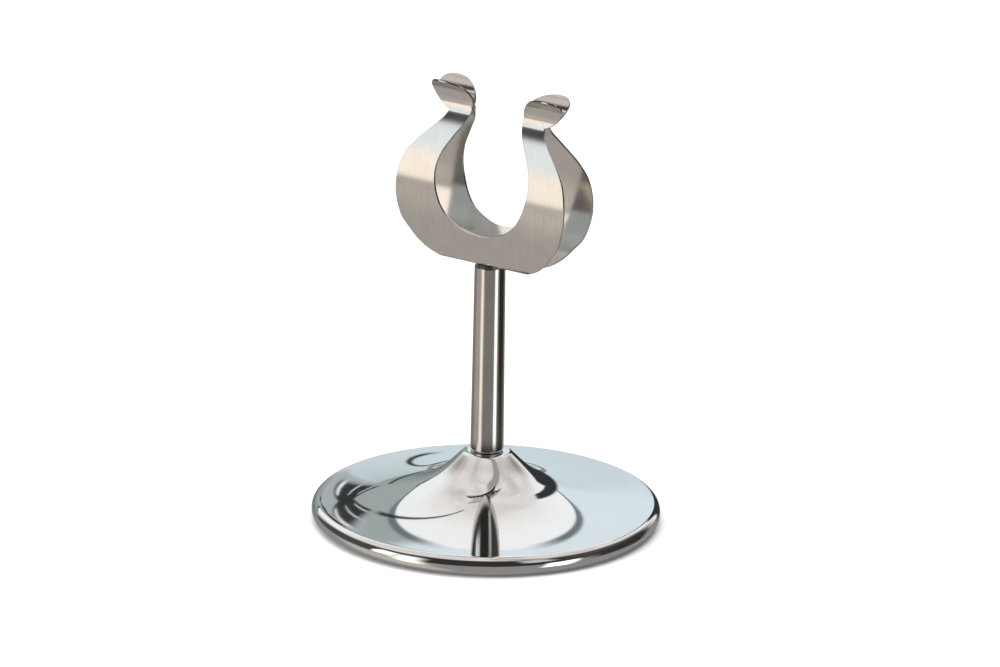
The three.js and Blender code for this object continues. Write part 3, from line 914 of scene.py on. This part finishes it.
def clip_half(name, side, nodes):
    """One half of the folded strip: its share of the web, a leaf and two ears. side is -1 at the front."""
    rows, spans, hole_row, split_row = flat_outline()
    line = StripLine(side * LEAN)
    web_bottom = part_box("clip_web")[0][2] / MM
    last = len(rows) - 1
    flat = []
    index = {}
    quads = []
    for half in (1, -1):
        for i, (s, (low, high)) in enumerate(zip(rows, spans)):
            for j in range(COLUMNS + 1):
                if half < 0 and j == 0 and hole_row <= i <= split_row:
                    index[i, j, half] = index[i, j, 1]  # both sides share the middle line
                    continue
                index[i, j, half] = len(flat)
                flat.append((half * (low + (high - low) * j / COLUMNS), s))
        for i in range(last):
            for j in range(COLUMNS):
                corners = [(i, j), (i, j + 1), (i + 1, j + 1), (i + 1, j)]
                quads.append([index[a, b, half] for a, b in corners][::half])
    flat = np.array(flat)

    # Once round the half: along the web, up one side, over its ear, down into the U and up again, over the
    # other ear, down that side, along the web and round the screw's hole.
    loop = [index[0, j, 1] for j in range(COLUMNS + 1)]
    loop += [index[i, COLUMNS, 1] for i in range(1, last + 1)]
    loop += [index[last, j, 1] for j in range(COLUMNS - 1, -1, -1)]
    loop += [index[i, 0, 1] for i in range(last - 1, split_row - 1, -1)]
    loop += [index[i, 0, -1] for i in range(split_row + 1, last + 1)]
    loop += [index[last, j, -1] for j in range(1, COLUMNS + 1)]
    loop += [index[i, COLUMNS, -1] for i in range(last - 1, -1, -1)]
    loop += [index[0, j, -1] for j in range(COLUMNS - 1, -1, -1)]
    loop += [index[i, 0, -1] for i in range(1, hole_row)]
    loop += [index[i, 0, 1] for i in range(hole_row, 0, -1)]

    edge = flat[loop]
    along = np.roll(edge, -1, axis=0) - np.roll(edge, 1, axis=0)
    inward = np.stack([-along[:, 1], along[:, 0]], axis=1)
    inward /= np.linalg.norm(inward, axis=1)[:, None]
    inward[edge[:, 1] < TINY] = 0  # the two halves of the strip meet here
    levels = rim_levels()
    rounded = flat.copy()
    rounded[loop] += inward * levels[0][0]

    def place(point, out):
        middle, heading = line.at(point[1])
        y = middle[0] + out * math.cos(heading)
        z = middle[1] - out * math.sin(heading)
        return (point[0], side * y, web_bottom + z)

    vertices = [place(p, levels[0][1]) for p in rounded] + [place(p, levels[-1][1]) for p in rounded]
    spots = [tuple(p) for p in rounded] * 2
    count = len(flat)
    faces = quads + [[v + count for v in reversed(q)] for q in quads]
    ladder = [list(loop)]
    for inset, out in levels[1:-1]:
        ladder.append(list(range(len(vertices), len(vertices) + len(loop))))
        for p in edge + inward * inset:
            vertices.append(place(p, out))
            spots.append(tuple(p))
    ladder.append([v + count for v in loop])
    for upper, lower in zip(ladder, ladder[1:]):
        for k in range(len(loop)):
            n = (k + 1) % len(loop)
            faces.append([upper[n], upper[k], lower[k], lower[n]])

    piece = new_piece(name, vertices, faces, spring_steel(), STRIP_SHARP_DEGREES)
    crease = set()
    for ring in (ladder[0], ladder[-1]):
        crease.update(frozenset(pair) for pair in zip(ring, ring[1:] + ring[:1]))
    for e in piece.data.edges:
        if frozenset(e.vertices) in crease:
            e.use_edge_sharp = True
    layer = piece.data.uv_layers.new(name="sheet")
    for corner in piece.data.loops:
        x, s = spots[corner.vertex_index]
        layer.data[corner.index].uv = (x * MM, s * MM)
    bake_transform(piece)
    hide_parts(*nodes)


def clip_screw():
    top = top_of("clip_screw")
    seat = top - SCREW_HEAD_HEIGHT
    tip = seat - SCREW_LENGTH
    section = [(0, tip), (SCREW_TIP_RADIUS, tip), (SCREW_SHANK, tip + SCREW_TIP_TAPER), (SCREW_SHANK, seat)]
    section += [(SCREW_HEAD_RADIUS - SCREW_SEAT_CHAMFER, seat)]
    section += [(SCREW_HEAD_RADIUS, seat + SCREW_SEAT_CHAMFER)]
    rounding_centre = (SCREW_HEAD_RADIUS - SCREW_HEAD_ROUNDING, top - SCREW_HEAD_ROUNDING)
    section += arc(rounding_centre, SCREW_HEAD_ROUNDING, 0, 90, HEAD_STEPS)
    section += [(0, top)]
    piece = revolve("clip_screw_head", section, screw_steel(), SCREW_SEGMENTS)
    slot = bpy.data.meshes.new("slot")
    cutter = bmesh.new()
    bmesh.ops.create_cube(cutter, size=1.0)
    size = Vector((3 * SCREW_HEAD_RADIUS, *SCREW_SLOT)) * MM  # long enough to cut right across
    bmesh.ops.scale(cutter, vec=size, verts=cutter.verts)
    bmesh.ops.translate(cutter, vec=(0, 0, top * MM), verts=cutter.verts)
    cutter.to_mesh(slot)
    cutter.free()
    tool = bpy.data.objects.new("slot", slot)
    bpy.context.collection.objects.link(tool)
    cut = piece.modifiers.new("slot", "BOOLEAN")
    cut.object = tool
    cut.solver = "EXACT"
    shaped = bpy.data.meshes.new_from_object(piece.evaluated_get(bpy.context.evaluated_depsgraph_get()))
    piece.modifiers.clear()
    piece.data = shaped
    shaped.set_sharp_from_angle(angle=math.radians(SHARP_DEGREES))
    bpy.data.objects.remove(tool)
    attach(piece, "stand")
    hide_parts("clip_screw")


# ---- parts kept from the frame --------------------------------------------------------------------------


def refinish():
    """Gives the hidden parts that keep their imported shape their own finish."""
    finishes = {
        "ballast_plate": cast_iron(),
        "base_washer": screw_steel(),
        "base_lock_washer": screw_steel(),
        "base_screw": screw_steel(),
    }
    for node, material in finishes.items():
        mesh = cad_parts[node].data
        mesh.materials.clear()
        mesh.materials.append(material)


add_camera()
stage()
base_dish()
foot_pad()
stem_post()
clip_half("clip_front_half", -1, ["front_leaf", "clip_web"])
clip_half("clip_rear_half", 1, ["rear_leaf", "clip_web"])
clip_screw()
refinish()
bpy.context.scene.view_settings.view_transform = "Standard"
